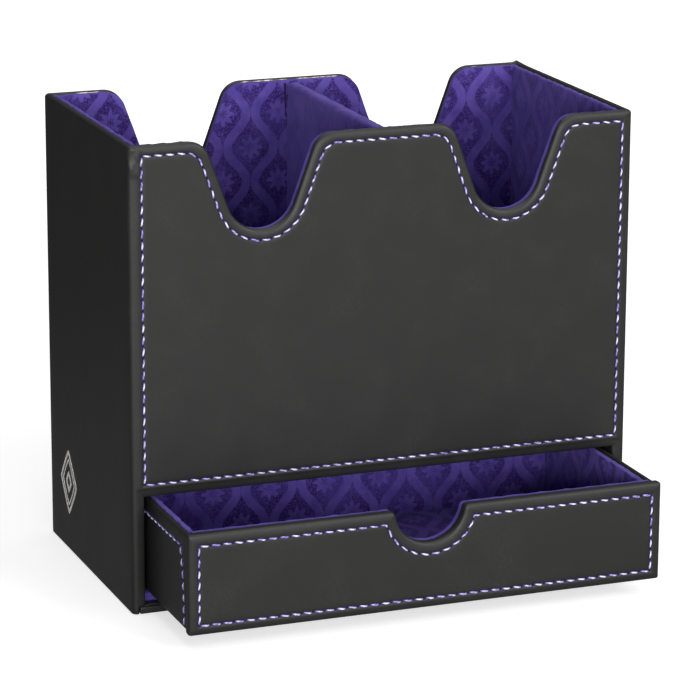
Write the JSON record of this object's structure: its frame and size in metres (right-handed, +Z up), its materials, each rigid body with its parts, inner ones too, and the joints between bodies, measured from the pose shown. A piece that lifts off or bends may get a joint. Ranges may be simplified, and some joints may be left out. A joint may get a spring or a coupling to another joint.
{
  "type": "double deck box with drawer",
  "caption": "Open card box with two compartments side by side, finger scoops front and back, and a shallow drawer below.",
  "frame": {"origin": "on the ground under the middle of the case's outer footprint", "axes": "+Z up, +X to the right seen from the front, -Y towards the viewer, the way the drawer opens"},
  "size_m": [0.16, 0.1232, 0.142],
  "materials": {
    "grey_board": "matte grey board",
    "leatherette": "satin black imitation leather with fine grain",
    "velour": "purple short-pile velour with a pressed trellis pattern",
    "thread": "lavender sewing thread",
    "foil": "silver hot-stamping foil"
  },
  "bodies": {
    "case": {"left_board": "grey_board", "right_board": "grey_board", "front_board": "grey_board", "back_board": "grey_board", "base_board": "grey_board", "base_wrap": "leatherette", "shelf_board": "grey_board", "outer_wrap": "leatherette", "bay_left_board": "grey_board", "bay_right_board": "grey_board", "bay_left_velour": "velour", "bay_right_velour": "velour", "bay_back_board": "grey_board", "bay_back_velour": "velour", "bay_floor_board": "grey_board", "bay_floor_velour": "velour", "left_lining_board": "grey_board", "left_lining_velour": "velour", "right_lining_board": "grey_board", "right_lining_velour": "velour", "front_lining_board": "grey_board", "front_lining_velour": "velour", "back_lining_board": "grey_board", "back_lining_velour": "velour", "divider_board": "grey_board", "divider_velour": "velour", "left_floor_board": "grey_board", "left_floor_velour": "velour", "right_floor_board": "grey_board", "right_floor_velour": "velour"},
    "drawer": {"drawer_front_board": "grey_board", "drawer_front_wrap": "leatherette", "tray_left_board": "grey_board", "tray_right_board": "grey_board", "tray_back_board": "grey_board", "tray_bottom_board": "grey_board", "tray_wrap": "leatherette", "tray_bottom_sheet": "leatherette", "drawer_front_lining_board": "grey_board", "drawer_front_lining_velour": "velour", "tray_left_lining_board": "grey_board", "tray_left_lining_velour": "velour", "tray_right_lining_board": "grey_board", "tray_right_lining_velour": "velour", "tray_back_lining_board": "grey_board", "tray_back_lining_velour": "velour", "tray_floor_lining_board": "grey_board", "tray_floor_lining_velour": "velour"}
  },
  "joints": [
    {"name": "drawer_slide", "type": "slide", "parent": "case", "child": "drawer", "axis": [0, -1, 0], "range_m": [-0.0372, 0.0348]}
  ]
}
